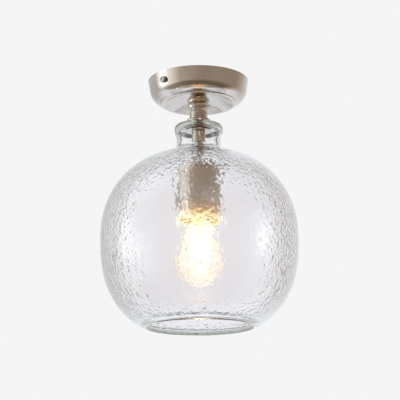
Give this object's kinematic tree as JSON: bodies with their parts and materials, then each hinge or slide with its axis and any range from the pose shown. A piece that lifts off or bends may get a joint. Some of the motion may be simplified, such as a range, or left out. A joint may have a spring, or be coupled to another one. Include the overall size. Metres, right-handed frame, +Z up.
{
  "type": "porch ceiling lantern",
  "caption": "Ceiling lantern with a round nickel canopy, a turned stem and a hammered clear glass globe, open below, over a bulb in a metal socket cup.",
  "frame": {"origin": "centre of the ceiling plane, which the canopy rim and the mounting bracket touch, on the lantern's vertical axis", "axes": "+Z up into the ceiling, X along the mounting bracket from the left side screw to the right one, -Y towards the front"},
  "size_m": [0.2438, 0.2438, 0.3131],
  "materials": {
    "nickel": "polished",
    "nickel_turned": "polished",
    "zinc_steel": "zinc plated",
    "screw_steel": "plated",
    "green_steel": "satin",
    "brass": "satin",
    "shade_glass": "hammered",
    "bulb_glass": "clear",
    "stem_glass": "clear",
    "dark_glass": "gloss",
    "porcelain": "glazed",
    "gasket": "matt",
    "solder": "dull",
    "black_insulation": "matt",
    "white_insulation": "matt",
    "connector": "matt",
    "filament": "lit",
    "filament_wire": "bright"
  },
  "bodies": {
    "lantern": {"mounting_bracket": "zinc_steel", "bracket_ear_nuts": "zinc_steel", "ground_screw": "green_steel", "canopy": "nickel", "canopy_lock_nut": "zinc_steel", "canopy_lock_washer": "zinc_steel", "threaded_nipple": "zinc_steel", "stem_bead": "nickel_turned", "stem_ring": "nickel_turned", "stem_sleeve": "nickel_turned", "stem_neck_ring": "nickel_turned", "stem_flange": "nickel_turned", "glass_top_gasket": "gasket", "glass_shade": "shade_glass", "glass_under_gasket": "gasket", "clamp_washer": "nickel", "coupling_tube": "nickel_turned", "cup_nut": "brass", "socket_cup": "nickel", "socket_bushing": "brass", "socket_bridge": "zinc_steel", "bridge_screws": "screw_steel", "socket_body": "porcelain", "socket_screw_shell": "brass", "socket_center_contact": "brass", "hot_terminal_screw": "brass", "neutral_terminal_screw": "screw_steel", "hot_lead": "black_insulation", "neutral_lead": "white_insulation", "hot_wire_connector": "connector", "neutral_wire_connector": "connector"},
    "bulb_tip": {"bulb_contact": "solder"},
    "bulb": {"bulb_envelope": "bulb_glass", "bulb_screw_cap": "nickel", "bulb_insulator": "dark_glass", "bulb_stem": "stem_glass", "bulb_filaments": "filament", "bulb_support_wires": "filament_wire"},
    "left_washer": {"left_screw_washer": "screw_steel"},
    "left_screw": {"left_side_screw": "screw_steel"},
    "right_washer": {"right_screw_washer": "screw_steel"},
    "right_screw": {"right_side_screw": "screw_steel"}
  },
  "joints": [
    {"name": "bulb_travel", "type": "slide", "parent": "lantern", "child": "bulb_tip", "axis": [0, 0, -1], "range_m": [0, 0.02181]},
    {"name": "bulb_turn", "type": "hinge", "parent": "bulb_tip", "child": "bulb", "pos_m": [0, 0, -0.17], "axis": [0, 0, -1], "range_deg": [0, 2160]},
    {"name": "left_screw_travel", "type": "slide", "parent": "lantern", "child": "left_washer", "axis": [-1, 0, 0], "range_m": [0, 0.00793]},
    {"name": "left_screw_turn", "type": "hinge", "parent": "left_washer", "child": "left_screw", "pos_m": [-0.063, 0, -0.012], "axis": [-1, 0, 0], "range_deg": [0, 3600]},
    {"name": "right_screw_travel", "type": "slide", "parent": "lantern", "child": "right_washer", "axis": [1, 0, 0], "range_m": [0, 0.00793]},
    {"name": "right_screw_turn", "type": "hinge", "parent": "right_washer", "child": "right_screw", "pos_m": [0.063, 0, -0.012], "axis": [1, 0, 0], "range_deg": [0, 3600]}
  ],
  "couplings": [
    {"joint": "bulb_travel", "follows": "bulb_turn", "m_per_rad": 0.0005775},
    {"joint": "left_screw_turn", "follows": "left_screw_travel", "rad_per_m": 7915.8},
    {"joint": "right_screw_turn", "follows": "right_screw_travel", "rad_per_m": 7915.8}
  ]
}
